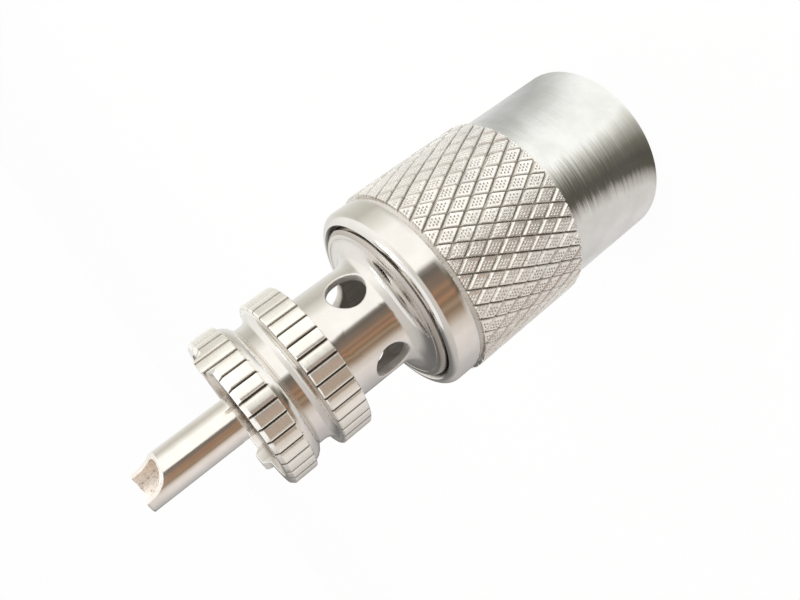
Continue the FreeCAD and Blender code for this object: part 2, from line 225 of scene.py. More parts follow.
class Nodes:
    def __init__(self, tree):
        self.tree = tree

    def node(self, kind, values=None, **settings):
        made = self.tree.nodes.new("ShaderNode" + kind)
        for key, value in settings.items():
            setattr(made, key, value)
        for key, value in (values or {}).items():
            made.inputs[key].default_value = value
        return made

    def join(self, source, target):
        self.tree.links.new(source, target)

    def maths(self, operation, first, second=0.0):
        made = self.node("Math", operation=operation)
        for socket, value in zip(made.inputs, (first, second)):
            if isinstance(value, (int, float)):
                socket.default_value = value
            else:
                self.join(value, socket)
        return made.outputs[0]

    def ramp(self, source, stops):
        made = self.node("ValToRGB")
        elements = made.color_ramp.elements
        while len(elements) < len(stops):
            elements.new(0.5)
        for element, (place, colour) in zip(elements, stops):
            element.position = place
            if isinstance(colour, (int, float)):
                colour = (colour, colour, colour)
            element.color = (*colour, 1.0)
        self.join(source, made.inputs[0])
        return made.outputs[0]

    def spread(self, source, low, high):
        made = self.node("MapRange", {"To Min": low, "To Max": high})
        self.join(source, made.inputs[0])
        return made.outputs[0]

    def blend(self, factor, first, second, way="MIX"):
        made = self.node("Mix", data_type="RGBA", blend_type=way)
        if isinstance(factor, float):
            made.inputs["Factor"].default_value = factor
        else:
            self.join(factor, made.inputs["Factor"])
        self.join(first, made.inputs["A"])
        self.join(second, made.inputs["B"])
        return made.outputs["Result"]

    def noise(self, scale, detail, roughness, vector=None):
        values = {"Scale": scale, "Detail": detail, "Roughness": roughness}
        made = self.node("TexNoise", values)
        self.join(vector or self.place(), made.inputs["Vector"])
        return made.outputs[0]

    def stored(self, name):
        return self.node("Attribute", attribute_name=name).outputs["Fac"]

    def place(self):
        return self.node("TexCoord").outputs["Object"]

    def turned_space(self, along, around):
        split = self.node("SeparateXYZ")
        self.join(self.place(), split.inputs[0])
        x, y, z = split.outputs
        square = self.maths("ADD", self.maths("MULTIPLY", x, x), self.maths("MULTIPLY", y, y))
        outward = self.maths("MULTIPLY", self.maths("SQRT", square), OUTWARD_SHARE)
        fine = self.maths("MULTIPLY", self.maths("ADD", z, outward), along)
        packed = self.node("CombineXYZ")
        self.join(self.maths("MULTIPLY", x, around), packed.inputs[0])
        self.join(self.maths("MULTIPLY", y, around), packed.inputs[1])
        self.join(fine, packed.inputs[2])
        return packed.outputs[0]

    def drawn_space(self, across, along):
        stretch = self.node("Mapping", {"Scale": (across, across, along)})
        self.join(self.place(), stretch.inputs["Vector"])
        return stretch.outputs[0]

    def bump(self, height, distance, strength, before=None):
        made = self.node("Bump", {"Strength": strength, "Distance": distance})
        self.join(height, made.inputs["Height"])
        if before is not None:
            self.join(before, made.inputs["Normal"])
        return made.outputs[0]

    def paper_rays(self):
        path = self.node("LightPath")
        seen = self.maths("MAXIMUM", path.outputs["Is Camera Ray"], path.outputs["Is Glossy Ray"])
        return self.maths("MAXIMUM", seen, path.outputs["Is Transmission Ray"])

    def mix_shaders(self, share, first, second, target):
        mix = self.node("MixShader")
        for source, socket in zip((share, first, second), mix.inputs):
            self.join(source, socket)
        self.join(mix.outputs[0], target.inputs["Surface"])


class Finish(Nodes):
    def __init__(self, name):
        self.material = bpy.data.materials.new(name)
        self.material.use_nodes = True
        super().__init__(self.material.node_tree)
        self.shader = self.tree.nodes["Principled BSDF"]
        self.output = self.tree.nodes["Material Output"]


print("node helpers:", [name for name in vars(Nodes) if not name.startswith("_")])

# %% [markdown]
# ## From brushed to pressed
# One recipe makes every plating. Its `marks` say how deep the turning rings are, its `gloss` is
# the range of roughness between them, and its `grain` is a fine tooth over all. The `wander`
# leans the shading normal to and fro round the axis with a streaky noise, so that a reflection
# frays across the tool marks as it does on brushed metal. Less than a whole `metal` lets some
# light scatter, which stands for a skin that is pressed or worn and no longer a mirror. Scales
# of noise are counted per metre, and bump distances are metres.


# %% The plating of the turned pieces
def plating(name, colour, dull, deep, marks, gloss, grain, wander=0.0, metal=1.0):
    finish = Finish(name)
    shader = finish.shader
    shader.inputs["Metallic"].default_value = metal
    rings = finish.noise(1.0, 3.0, 0.65, finish.turned_space(along=9000.0, around=60.0))
    strokes = finish.noise(1.0, 4.0, 0.7, finish.turned_space(along=4200.0, around=130.0))
    cloud = finish.noise(scale=420.0, detail=3.0, roughness=0.6)
    speck = finish.noise(scale=5200.0, detail=2.0, roughness=0.6)
    cavity = finish.stored("cavity")
    patches = finish.ramp(cloud, [(0.36, dull), (0.64, colour)])
    # Painted shade: the colour is darkened towards deep where the stored value falls to 0, in
    # grooves and holes.
    shade = finish.ramp(cavity, [(0.0, deep), (0.8, 1.0)])
    finish.join(finish.blend(1.0, patches, shade, "MULTIPLY"), shader.inputs["Base Color"])
    ring_gloss = finish.spread(rings, gloss[0], gloss[1])
    rough = finish.maths("ADD", ring_gloss, finish.spread(cloud, -0.04, 0.05))
    rough = finish.maths("ADD", rough, finish.spread(cavity, 0.25, 0.0))
    finish.join(finish.maths("MAXIMUM", rough, 0.04), shader.inputs["Roughness"])
    normal = finish.bump(rings, distance=0.00002, strength=marks)
    normal = finish.bump(speck, distance=0.00001, strength=grain, before=normal)
    round_way = finish.node("Tangent", direction_type="RADIAL", axis="Z")
    lean = finish.node("VectorMath", operation="MULTIPLY_ADD")
    finish.join(round_way.outputs[0], lean.inputs[0])
    finish.join(finish.spread(strokes, -wander, wander), lean.inputs[1])
    finish.join(normal, lean.inputs[2])
    unit = finish.node("VectorMath", operation="NORMALIZE")
    finish.join(lean.outputs[0], unit.inputs[0])
    finish.join(unit.outputs[0], shader.inputs["Normal"])
    return finish.material


# The last colour of each set is painted shade: the colour a plating takes at the bottom of grooves
# and holes.
PALE, DULL, RECESS_SHADE = (0.87, 0.85, 0.82), (0.82, 0.795, 0.765), (0.46, 0.42, 0.38)
BRUSHED, BRUSHED_DULL = (0.87, 0.87, 0.85), (0.79, 0.79, 0.76)
KNURL_PALE, KNURL_DULL, KNURL_RECESS_SHADE = (0.95, 0.93, 0.89), (0.88, 0.86, 0.825), (0.36, 0.33, 0.29)
ROW_PALE, ROW_DULL, ROW_RECESS_SHADE = (0.95, 0.935, 0.89), (0.90, 0.88, 0.83), (0.20, 0.17, 0.14)
MOUTH_RECESS_SHADE = (0.11, 0.10, 0.09)
print("pale plate", PALE, "and brushed plate", BRUSHED)

# %% Four platings for the ring
SLEEVE_PLATING = plating(
    "sleeve_plating", BRUSHED, BRUSHED_DULL, RECESS_SHADE,
    marks=1.0, gloss=(0.05, 0.16), grain=0.18, wander=0.2,
)
KNURL_PLATING = plating(
    "knurl_plating", KNURL_PALE, KNURL_DULL, KNURL_RECESS_SHADE,
    marks=0.2, gloss=(0.16, 0.30), grain=0.8, wander=0.16, metal=0.76,
)
BODY_PLATING = plating(
    "body_plating", PALE, DULL, RECESS_SHADE, marks=0.1, gloss=(0.05, 0.11), grain=0.04, wander=0.004
)
# The mouth's plating has a much darker shade colour, painted into the thread and the lip at the
# mouth.
MOUTH_SHADED_PLATING = plating(
    "mouth_shaded_plating", PALE, DULL, MOUTH_RECESS_SHADE, marks=0.4, gloss=(0.12, 0.24), grain=0.1
)
ring_platings = (SLEEVE_PLATING, KNURL_PLATING, BODY_PLATING, MOUTH_SHADED_PLATING)
print("the ring's platings:", [plate.name for plate in ring_platings])

# %% Two more platings for the body
ROW_PLATING = plating(
    "row_plating", ROW_PALE, ROW_DULL, ROW_RECESS_SHADE,
    marks=0.1, gloss=(0.15, 0.26), grain=0.05, wander=0.03, metal=0.84,
)
BORE_PLATING = plating(
    "bore_plating", PALE, DULL, RECESS_SHADE, marks=0.1, gloss=(0.35, 0.5), grain=0.1, metal=0.65
)
body_platings = (BODY_PLATING, ROW_PLATING, BORE_PLATING)
print("the body's platings:", [plate.name for plate in body_platings])

# %% [markdown]
# ## The centre pin
# The pin is drawn tube, so its fine lines run along it, not round it. Its tip is scooped by a
# round cutter, and the inside has a grainy skin with dark blots. The stored shade value is 0
# inside and 1 outside, so on the pin it says which of the two skins a point has.


# %% The finish of the pin
def pin_finish():
    finish = Finish("contact_plating")
    shader = finish.shader
    shader.inputs["Metallic"].default_value = 1.0
    lines = finish.noise(1.0, 3.0, 0.6, finish.drawn_space(across=7000.0, along=130.0))
    cloud = finish.noise(scale=700.0, detail=3.0, roughness=0.6)
    blot = finish.noise(scale=1400.0, detail=4.0, roughness=0.75)
    speck = finish.noise(scale=5200.0, detail=3.0, roughness=0.7)
    grain = finish.noise(scale=6500.0, detail=3.0, roughness=0.7)
    cavity = finish.stored("cavity")
    outside = finish.ramp(cloud, [(0.35, (0.90, 0.86, 0.82)), (0.65, (0.95, 0.925, 0.89))])
    inside = finish.ramp(blot, [(0.31, (0.38, 0.31, 0.26)), (0.44, (0.98, 0.90, 0.83))])
    finish.join(finish.blend(cavity, inside, outside), shader.inputs["Base Color"])
    inward = finish.maths("SUBTRACT", 1.0, cavity)
    skin = finish.maths("MULTIPLY", inward, 0.35)
    rough = finish.maths("ADD", finish.spread(lines, 0.06, 0.15), skin)
    finish.join(rough, shader.inputs["Roughness"])
    normal = finish.bump(lines, distance=0.00001, strength=0.25)
    normal = finish.bump(speck, distance=0.00001, strength=0.2, before=normal)
    deep = finish.maths("MULTIPLY", grain, inward)
    normal = finish.bump(deep, distance=0.00006, strength=0.8, before=normal)
    finish.join(normal, shader.inputs["Normal"])
    return finish.material


PIN_PLATING = pin_finish()
print("the pin's plating:", PIN_PLATING.name)

# %% [markdown]
# ## The insulator
# The bush in the head is dark brown phenolic resin with a wood-flour filler. It is dull, faintly
# mottled, and has turning rings on its front face. Its own solid from the packed model is kept.


# %% The finish of the insulator
def resin_finish():
    finish = Finish("insulator_resin")
    shader = finish.shader
    mottle = finish.noise(scale=1500.0, detail=4.0, roughness=0.65)
    rings = finish.noise(1.0, 2.0, 0.5, finish.turned_space(along=7000.0, around=40.0))
    brown = finish.ramp(mottle, [(0.3, (0.085, 0.036, 0.018)), (0.7, (0.17, 0.078, 0.038))])
    finish.join(brown, shader.inputs["Base Color"])
    finish.join(finish.spread(rings, 0.38, 0.58), shader.inputs["Roughness"])
    finish.join(finish.bump(rings, distance=0.00002, strength=0.3), shader.inputs["Normal"])
    return finish.material


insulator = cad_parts["insulator"]
insulator.data.materials.clear()
insulator.data.materials.append(resin_finish())

# %% [markdown]
# ## The plug body: the head
# The head carries two rows of straight knurl. Each groove is a V pressed in along the axis, so
# at every angle the row can be no wider than the V allows: taking the smaller of the two radii
# cuts all thirty-six grooves without any boolean. The points of each loop are bunched at the
# groove's edges so that the crests stay crisp. No two crests stand quite alike: each leans a
# little by a random share.

# %% Angles of the loops
GROOVES = 36
PERIOD = 360.0 / GROOVES
GROOVE_DEPTH, GROOVE_HALF = 0.27, 0.13
CROWN_DROP, CROWN_SPAN, CREST_TILT = 0.03, 0.1, 0.045
CREST_LEAN = np.random.default_rng(5).uniform(-1.0, 1.0, GROOVES)
stops = np.array([0.0, 0.5, 0.9, 1.15, 1.8, 3.3, 5.0, 6.7, 8.2, 8.85, 9.1, 9.5])
TURNS = np.radians((np.arange(GROOVES)[:, None] * PERIOD + stops[None, :]).ravel())


def groove_limit(turns):
    degrees = np.degrees(turns)
    apart = np.abs((degrees + 0.5 * PERIOD) % PERIOD - 0.5 * PERIOD)
    side = np.radians(apart) * HEAD_R
    wall = HEAD_R - GROOVE_DEPTH + side / GROOVE_HALF * GROOVE_DEPTH
    edge = np.clip((side - GROOVE_HALF) / CROWN_SPAN - 1.0, -1.0, 0.0)
    crest = np.floor(degrees / PERIOD).astype(int) % GROOVES
    across_crest = (degrees % PERIOD - 0.5 * PERIOD) / (0.5 * PERIOD)
    lean = CREST_TILT * CREST_LEAN[crest]
    crown = HEAD_R - CROWN_DROP * edge**2 - np.abs(lean) + lean * across_crest
    return np.minimum(np.where(side < GROOVE_HALF, wall, crown), HEAD_R)


print("points in a body loop:", len(TURNS))

# %% The two teeth on the rim
TOOTH_TURN, TOOTH_HALF, TOOTH_SLOPE = math.radians(-83.5), 1.15, 0.5
TOOTH_RISE, TOOTH_OUT_R, TOOTH_MIDDLE_R = 0.6, 7.2, 6.75


def tooth_share(turns, radius):
    share = np.zeros_like(turns)
    for place in (TOOTH_TURN, TOOTH_TURN + math.pi):
        side = np.abs(np.sin(turns - place)) * radius
        facing = np.cos(turns - place) > 0
        rise = np.clip((TOOTH_HALF - side) / TOOTH_SLOPE, 0.0, 1.0)
        share = np.maximum(share, np.where(facing, rise, 0.0))
    return share


tooth_lift = tooth_share(TURNS, TOOTH_MIDDLE_R)
print("points on the teeth:", int((tooth_lift > 0.0).sum()))

# %% The outline of the head, from the tube up, over the rim and down the bore
HEAD_LOW, ROW_CHAMFER = 6.6, 0.13
REAR_ROW_LOW, REAR_ROW_HIGH = 7.3, 10.2
FRONT_ROW_LOW, FRONT = 13.0, 15.55
CUP_R, CUP_FLOOR, HEAD_BORE_R, HEAD_BORE_LOW = 6.2, 13.2, 5.1, 9.5
head_outline = soften(
    [
        (TUBE_R, HEAD_LOW),
        (TUBE_R, REAR_ROW_LOW, 0.08),
        (HEAD_R - ROW_CHAMFER, REAR_ROW_LOW, 0.04),
        (HEAD_R, REAR_ROW_LOW + ROW_CHAMFER, 0.04),
        (HEAD_R, 8.2),
        (HEAD_R, 9.3),
        (HEAD_R, REAR_ROW_HIGH - ROW_CHAMFER, 0.04),
        (HEAD_R - ROW_CHAMFER, REAR_ROW_HIGH, 0.04),
        *arc((6.92, 11.2), 1.0, 270.0, 180.0, 10),
        (5.92, 11.72),
        (5.92, 11.82, 0.03),
        (5.84, 11.84),
        (5.84, 11.92),
        (6.06, 11.93, 0.03),
        (6.12, 11.98),
        (6.42, 12.18),
        (6.66, 12.46),
        (6.8, 12.75),
        (6.85, FRONT_ROW_LOW, 0.05),
        (HEAD_R - ROW_CHAMFER, FRONT_ROW_LOW, 0.04),
        (HEAD_R, FRONT_ROW_LOW + ROW_CHAMFER, 0.04),
        (HEAD_R, 13.9),
        (HEAD_R, 14.6),
        (HEAD_R, 15.2, 0.06),
        (HEAD_R - 0.35, FRONT, 0.08),
        (CUP_R, FRONT, 0.08),
        (CUP_R, 14.6),
        (CUP_R, CUP_FLOOR, 0.1),
        (HEAD_BORE_R, CUP_FLOOR, 0.08),
        (HEAD_BORE_R, HEAD_BORE_LOW),
        (TUBE_BORE_R, HEAD_BORE_LOW, 0.06),
        (TUBE_BORE_R, HEAD_LOW),
    ]
)
print("points in the head's outline:", len(head_outline))

# %% [markdown]
# ## Loops of the head
# Each point of the outline becomes one loop. Near the rim a loop is lifted where a tooth stands,
# and on the rows it is pressed in by the grooves. The stored shade value paints shade into the
# grooves, more into one flank of each groove than the other, as into a flank that looks away
# from the light, and paints shade into the cup and the bore as well.

# %% The head's loops
RIM_LOW, RIM_IN_R, RIM_OUT_R, LIP_LOW = 15.0, 6.15, 6.7, 15.45
TOOTH_FOOT, TOOTH_BLEND = 15.15, 0.35
GROOVED_R, GROOVED_LOW = 6.8, 7.2
DARK_FLANK, DARK_SHARE = 9.0, 2.5
CUP_SHADE, HEAD_BORE_SHADE = 0.7, 0.5
head = LoopMesh()
pressed = groove_limit(TURNS)
flank_shade = np.where(np.degrees(TURNS) % PERIOD > DARK_FLANK, DARK_SHARE, 1.0)
groove_shade = np.clip(1.0 - flank_shade * (HEAD_R - pressed) / GROOVE_DEPTH, 0.0, 1.0)
loops = []
in_cup = False
for radius, height in head_outline:
    # Once over the rim, the outline stays inside the cup.
    in_cup = in_cup or (radius < CUP_R + 0.005 and height > 15.2)
    ring_radius = np.full_like(TURNS, radius)
    ring_height = np.full_like(TURNS, height)
    depth = 1.0 if not in_cup else CUP_SHADE if height > FRONT_ROW_LOW else HEAD_BORE_SHADE
    if height > RIM_LOW and radius > RIM_IN_R:
        outer = radius > RIM_OUT_R
        rim = TOOTH_OUT_R if outer else radius
        ring_radius = ring_radius + (rim - ring_radius) * np.minimum(tooth_lift * 2.0, 1.0)
        raised = np.clip((height - TOOTH_FOOT) / TOOTH_BLEND, 0.0, 1.0) if outer else 1.0
        if radius < CUP_R + 0.01 and height < LIP_LOW:
            raised = 0.0
        ring_height = ring_height + TOOTH_RISE * tooth_lift * raised
    if height > GROOVED_LOW and radius > GROOVED_R:
        ring_radius = np.minimum(ring_radius, pressed)
        depth = groove_shade
    loops.append(head.loop(ring_radius, body_z(ring_height), TURNS, depth))
head.cover(loops)
print("head loops:", len(loops))

# %% [markdown]
# ## The plug body: flange and barrel
# Behind the tube the body flares in a smooth curve into the threaded flange. The thread is a
# groove that climbs one pitch per turn, so its depth depends on height and angle together. The
# barrel behind it is plain and hides inside the ring.


# %% A thread as a depth that depends on height and angle
THREAD_PEAK, THREAD_SLOPE, THREAD_SHADE = 1.15, 3.4, 0.3


def thread_depth(height, turns):
    phase = (height / PITCH - turns / (2.0 * math.pi)) % 1.0
    return np.clip(THREAD_PEAK - np.abs(phase - 0.5) * THREAD_SLOPE, 0.0, 1.0)


print("thread depth half way up a turn:", thread_depth(0.5 * PITCH, 0.0))

# %% Outlines of the flange's face and of the barrel behind it
TUBE_LOW = 1.05
EDGE_HIGH, EDGE_LOW = -0.3, -2.3
BARREL_R, BARREL_BORE_R, BARREL_END = 6.35, 5.35, -13.1
flare_start = math.degrees(math.asin((TUBE_FILLET - TUBE_LOW) / TUBE_FILLET))
flange_face = soften(
    [
        *arc((TUBE_R + TUBE_FILLET, TUBE_FILLET), TUBE_FILLET, 180.0 + flare_start, 270.0, 12),
        (7.18, 0.0),
        (7.20, -0.035),
        (7.26, -0.035),
        (7.28, 0.0),
        (7.64, 0.0, 0.1),
        (FLANGE_R, EDGE_HIGH),
    ]
)
barrel = soften(
    [
        (FLANGE_R, EDGE_LOW),
        (7.64, -2.6, 0.06),
        (BARREL_R, -2.6, 0.1),
        (BARREL_R, -7.0),
        (BARREL_R, BARREL_END, 0.25),
        (5.72, BARREL_END, 0.08),
        (BARREL_BORE_R, -12.7),
        (BARREL_BORE_R, -2.1),
        (TUBE_BORE_R, -1.1),
        (TUBE_BORE_R, TUBE_LOW),
    ]
)
print("points in the outlines:", len(flange_face), "and", len(barrel))

# %% Loops of the flange and the barrel
FACE_SHADES = ((5.6, 1.0), (7.1, 0.72), (7.6, 0.6), (FLANGE_R, 0.15))
CREST_R, THREAD_CUT, RUN_OUT = 7.93, 0.34, 0.25
BARREL_SHADE, CABLE_SHADE = 0.8, 0.5
loops = []
for radius, height in flange_face[:-1]:
    shadow = next(shade for limit, shade in FACE_SHADES if radius < limit)
    loops.append(head.loop(radius, body_z(height), TURNS, shadow))
for height in np.linspace(EDGE_HIGH, EDGE_LOW, 19):
    depth = thread_depth(height, TURNS)
    fade = np.clip(min(-0.2 - height, height + 2.45) / RUN_OUT, 0.2, 1.0)
    shade = THREAD_SHADE * (1.0 - depth)
    loops.append(head.loop(CREST_R - THREAD_CUT * depth * fade, body_z(height), TURNS, shade))
for radius, height in barrel[1:]:
    shade = CABLE_SHADE if radius < BARREL_BORE_R + 0.05 else BARREL_SHADE
    loops.append(head.loop(radius, body_z(height), TURNS, shade))
head.cover(loops, flip=True)
print("flange and barrel loops:", len(loops))

# %% [markdown]
# ## The tube with its four solder holes
# A hole in a curved wall is drawn most cleanly by building the wall around it. Each quarter of
# the tube is a patch: its inner border is the hole's round edge, its outer border is the
# quarter's rectangle, and the rings between blend from one to the other. All points stay on
# the true surface, so the wall reflects without a ripple.


# %% Surfaces of the tube and the hole's edge
HOLE_R, HOLE_Z = 1.75, 3.0
quarter, side_steps = len(TURNS) // 4, 26


def tube_outside(height):
    dip = np.clip(TUBE_FILLET - height, 0.0, TUBE_FILLET)
    return TUBE_R + TUBE_FILLET - np.sqrt(TUBE_FILLET**2 - dip**2)


def tube_inside(height):
    return np.full_like(height, TUBE_BORE_R)


def patch_border(centre_turn):
    low = centre_turn - math.pi / 4
    wanted = np.degrees(low) % 360.0
    degrees = np.degrees(TURNS)
    first = int(np.argmin(np.abs(degrees - wanted)))
    picks = [(first + k) % len(TURNS) for k in range(quarter + 1)]
    turn = (np.degrees(TURNS[picks]) - wanted + 360.0 + 1e-6) % 360.0 - 1e-6
    turn = low + np.radians(turn)
    heights = np.linspace(TUBE_LOW, HEAD_LOW, side_steps + 1)
    bottom = [(t, TUBE_LOW) for t in turn[:-1]]
    right = [(turn[-1], h) for h in heights[:-1]]
    top = [(t, HEAD_LOW) for t in turn[:0:-1]]
    left = [(turn[0], h) for h in heights[:0:-1]]
    return np.array(bottom + right + top + left)


def hole_ring(border, centre_turn, grow, surface):
    lean = border - np.array([centre_turn, HOLE_Z])
    aim = np.arctan2(lean[:, 1], lean[:, 0] * TUBE_R)
    radius = HOLE_R + grow
    side = radius * np.cos(aim)
    height = HOLE_Z + radius * np.sin(aim)
    turn = centre_turn + np.arcsin(side / surface(height))
    return turn, height


def surface_points(turn, height, surface, sink=0.0):
    radius = surface(height) - sink
    return np.stack([radius * np.cos(turn), radius * np.sin(turn), body_z(height)], axis=1)


def blend_to_border(border, turn, height, share):
    return turn + (border[:, 0] - turn) * share, height + (border[:, 1] - height) * share


print("points round a patch:", len(patch_border(0.0)))

# %% Four patches, each with its hole
WALL_SHARES = (1.0, 0.8, 0.6, 0.42, 0.27, 0.15, 0.06)
LIP_STEPS = ((0.16, 0.0), (0.10, 0.01), (0.05, 0.035), (0.015, 0.08), (0.0, 0.14))
INNER_LIP_STEPS = ((0.0, -0.12), (0.02, -0.05), (0.07, 0.0))
BORE_SHARES = (0.1, 0.3, 0.6, 1.0)
HOLE_SHADE, TUBE_BORE_SHADE = 0.4, 0.25
for centre in np.radians([0.0, 90.0, 180.0, 270.0]):
    border = patch_border(centre)
    rings = []
    turn, height = hole_ring(border, centre, LIP_STEPS[0][0], tube_outside)
    for share in WALL_SHARES:
        place = blend_to_border(border, turn, height, share)
        rings.append(head.add(surface_points(*place, tube_outside)))
    # Painted shade: the lip darkens as it sinks into the hole, and the hole's wall and the bore are
    # darker still.
    for grow, sink in LIP_STEPS:
        place = hole_ring(border, centre, grow, tube_outside)
        rings.append(head.add(surface_points(*place, tube_outside, sink), 1.0 - 3.0 * sink))
    for grow, sink in INNER_LIP_STEPS:
        place = hole_ring(border, centre, grow, tube_inside)
        rings.append(head.add(surface_points(*place, tube_inside, sink), HOLE_SHADE))
    turn, height = place
    for share in BORE_SHARES:
        place = blend_to_border(border, turn, height, share)
        rings.append(head.add(surface_points(*place, tube_inside), TUBE_BORE_SHADE))
    head.cover(rings)
plug_body = head.build("plug_body_turned", 34.0)

# %% Three finishes on one body: polished metal, satin rows, dull bore
for finish in body_platings:
    plug_body.data.materials.append(finish)
for face in plug_body.data.polygons:
    z = face.center.z / MM - FLANGE_Z
    r = math.hypot(face.center.x, face.center.y) / MM
    on_rear_row = REAR_ROW_LOW - 0.05 < z < REAR_ROW_HIGH + 0.05 and r > 6.3
    on_front_row = z > FRONT_ROW_LOW - 0.05 and r > RIM_OUT_R
    in_tube = r < TUBE_R - 0.03 and -1.2 < z < HEAD_BORE_LOW
    face.material_index = 1 if on_rear_row or on_front_row else 2 if in_tube else 0
finishes_used = [face.material_index for face in plug_body.data.polygons]
print("faces of each finish:", [finishes_used.count(k) for k in range(len(body_platings))])
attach(plug_body, "plug")
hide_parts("plug_body")

# %% [markdown]
# ## The centre pin's scooped tip
# A round cutter crossed the end of the tube and took away its near side. At each angle the wall
# ends where the cutter left it, so the pin is a stack of loops whose last few follow that curve.

# %% The end of the pin's wall at each angle
PIN_R, PIN_WAIST_R, PIN_BORE_R, PIN_TIP = 1.98, 1.78, 1.5, 24.9
PIN_FOOT, COLLAR_R, COLLAR_HIGH = 7.2, 2.7, 8.0
SCOOP_TURN = math.radians(-77.0)
SCOOP_R, SCOOP_OUT, SCOOP_DROP = 2.25, 2.5, 0.2


def wall_end(radius, turns):
    across = radius * np.cos(turns - SCOOP_TURN) - SCOOP_OUT
    reach = np.sqrt(np.clip(SCOOP_R**2 - across**2, 0.0, None))
    cut = np.where(np.abs(across) < SCOOP_R, PIN_TIP - SCOOP_DROP - reach, PIN_TIP)
    return np.minimum(cut, PIN_TIP)


pin_turns = np.linspace(0.0, 2.0 * math.pi, 161)[:-1] + SCOOP_TURN
PIN_MIDDLE_R = (PIN_R + PIN_BORE_R) / 2
outer_end = wall_end(PIN_R, pin_turns)
inner_end = wall_end(PIN_BORE_R, pin_turns)
middle_end = wall_end(PIN_MIDDLE_R, pin_turns)
print("the scoop reaches", round(PIN_TIP - float(outer_end.min()), 3), "mm down the wall")

# %% The centre pin
STRAIGHT_TOP, LIP = 20.0, 0.05
pin = LoopMesh()
loops = []
pin_outline = soften(
    [
        (PIN_BORE_R, PIN_FOOT + 0.2),
        (PIN_BORE_R, PIN_FOOT, 0.08),
        (COLLAR_R, PIN_FOOT, 0.1),
        (COLLAR_R, COLLAR_HIGH, 0.05),
        (PIN_WAIST_R, COLLAR_HIGH),
        (PIN_WAIST_R, 12.0),
        (PIN_WAIST_R, 13.22),
        (PIN_R, 13.3, 0.03),
        (PIN_R, 16.0),
        (PIN_R, STRAIGHT_TOP),
    ]
)
for radius, height in pin_outline:
    loops.append(pin.loop(radius, body_z(height), pin_turns, 0.2 if radius < 1.6 else 1.0))
for share in (0.25, 0.5, 0.75, 0.9, 0.97):
    height = STRAIGHT_TOP + (outer_end - LIP - STRAIGHT_TOP) * share
    loops.append(pin.loop(PIN_R, body_z(height), pin_turns))
for radius, drop in ((PIN_R, LIP), (PIN_R - 0.02, 0.015), (PIN_R - 0.06, 0.0)):
    loops.append(pin.loop(radius, body_z(outer_end - drop), pin_turns))
loops.append(pin.loop(PIN_MIDDLE_R, body_z(middle_end), pin_turns, 0.8))
for radius, drop in ((PIN_BORE_R + LIP, 0.0), (PIN_BORE_R, LIP)):
    loops.append(pin.loop(radius, body_z(inner_end - drop), pin_turns, 0.45))
for share in (0.92, 0.8, 0.6, 0.3, 0.0):
    height = STRAIGHT_TOP + (inner_end - LIP - STRAIGHT_TOP) * share
    loops.append(pin.loop(PIN_BORE_R, body_z(height), pin_turns, 0.0))
loops.append(pin.loop(PIN_BORE_R, body_z(PIN_FOOT + 0.2), pin_turns, 0.0))
pin.cover(loops)
centre_pin = pin.build("centre_pin_drawn", 40.0)
centre_pin.data.materials.append(PIN_PLATING)
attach(centre_pin, "plug")
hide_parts("centre_contact")

# %% [markdown]
# ## The coupling ring
# Two crossed families of grooves cut the knurl into flat-topped diamonds. Counting along the
# grooves instead of round and up makes each diamond a plain unit square: the distance to the
# nearest groove is then one subtraction. The pad is not in the middle of its square, so one of
# its four walls is wide and three are steep. The knurling wheel leaves its own fine print on
# each pad, nine small pits. Shade is painted into the pits and the groove bottoms, and one steep
# wall is painted dark all over as a shadow.

# %% Sizes of the ring and the lines of one diamond
KNURL_LOW, KNURL_HIGH = 11.6, 23.8
COLUMNS, ROWS = 40, 9
COARSE = 240
ring_turns = np.linspace(0.0, 2.0 * math.pi, COARSE + 1)[:-1]
TOP_R, VALLEY_R, EDGE_R = 9.595, 9.33, 9.02
FLAT_LOW, FLAT_LEFT, FLAT_OVER = -0.40, 0.30, 0.43
DIMPLES = (-0.225, -0.025, 0.175)
DIMPLE_DEPTH, DIMPLE_HALF, DIMPLE_SHADE = 0.10, 0.085, 0.9
VALLEY_SHADE_SLOPE, WALL_SHADOW_SLOPE = 1.6, 1.8
dimple_sides = [place + side for place in DIMPLES for side in (-DIMPLE_HALF, 0.0, DIMPLE_HALF)]
lines = np.array([-0.5, FLAT_LOW, *dimple_sides, FLAT_LEFT, FLAT_OVER, 0.5])
across, along = np.meshgrid(lines, lines, indexing="ij")
left_wall = (across - FLAT_LEFT) / (0.5 - FLAT_LEFT)
right_wall = (FLAT_LOW - across) / (0.5 + FLAT_LOW)
over_wall = (along - FLAT_OVER) / (0.5 - FLAT_OVER)
under_wall = (FLAT_LOW - along) / (0.5 + FLAT_LOW)
sunk = np.maximum(np.maximum(left_wall, right_wall), np.maximum(over_wall, under_wall))
sunk = np.clip(sunk, 0.0, 1.0)
on_dimple = np.isin(across, DIMPLES) & np.isin(along, DIMPLES)
diamond_r = TOP_R - (TOP_R - VALLEY_R) * sunk - DIMPLE_DEPTH * on_dimple
# Painted shade: darker towards the groove bottoms, darkest over one steep wall as a painted shadow,
# and darker in the pits.
valley_shade = np.clip(VALLEY_SHADE_SLOPE * (sunk - 1.0) + 1.0, 0.0, 1.0)
wall_shadow = np.clip(WALL_SHADOW_SLOPE * over_wall, 0.0, 1.0)
diamond_shade = 1.0 - np.maximum(valley_shade, wall_shadow) - DIMPLE_SHADE * on_dimple
rise = (KNURL_HIGH - KNURL_LOW) / ROWS
print("one diamond has", across.size, "points and is", round(2 * rise, 3), "mm long")

# %% [markdown]
# ## A net of diamonds
# Each diamond gets its own small tilt and wear from a random source with a fixed seed, so no two
# pads catch the light alike and each run gives the same ring. The outermost rows of the net are
# half diamonds, cut straight along the diagonal of their squares.

# %% The knurl as a net of diamonds
PAD_SINK, PAD_TILT, TOP_SLACK = 0.010, 0.045, 0.004
WEAR_LOW, WEAR_HIGH = -0.035, 0.015
press = np.random.default_rng(7)
inner = (np.abs(across) < 0.49) & (np.abs(along) < 0.49)
ring = LoopMesh()
cells = len(lines) - 1


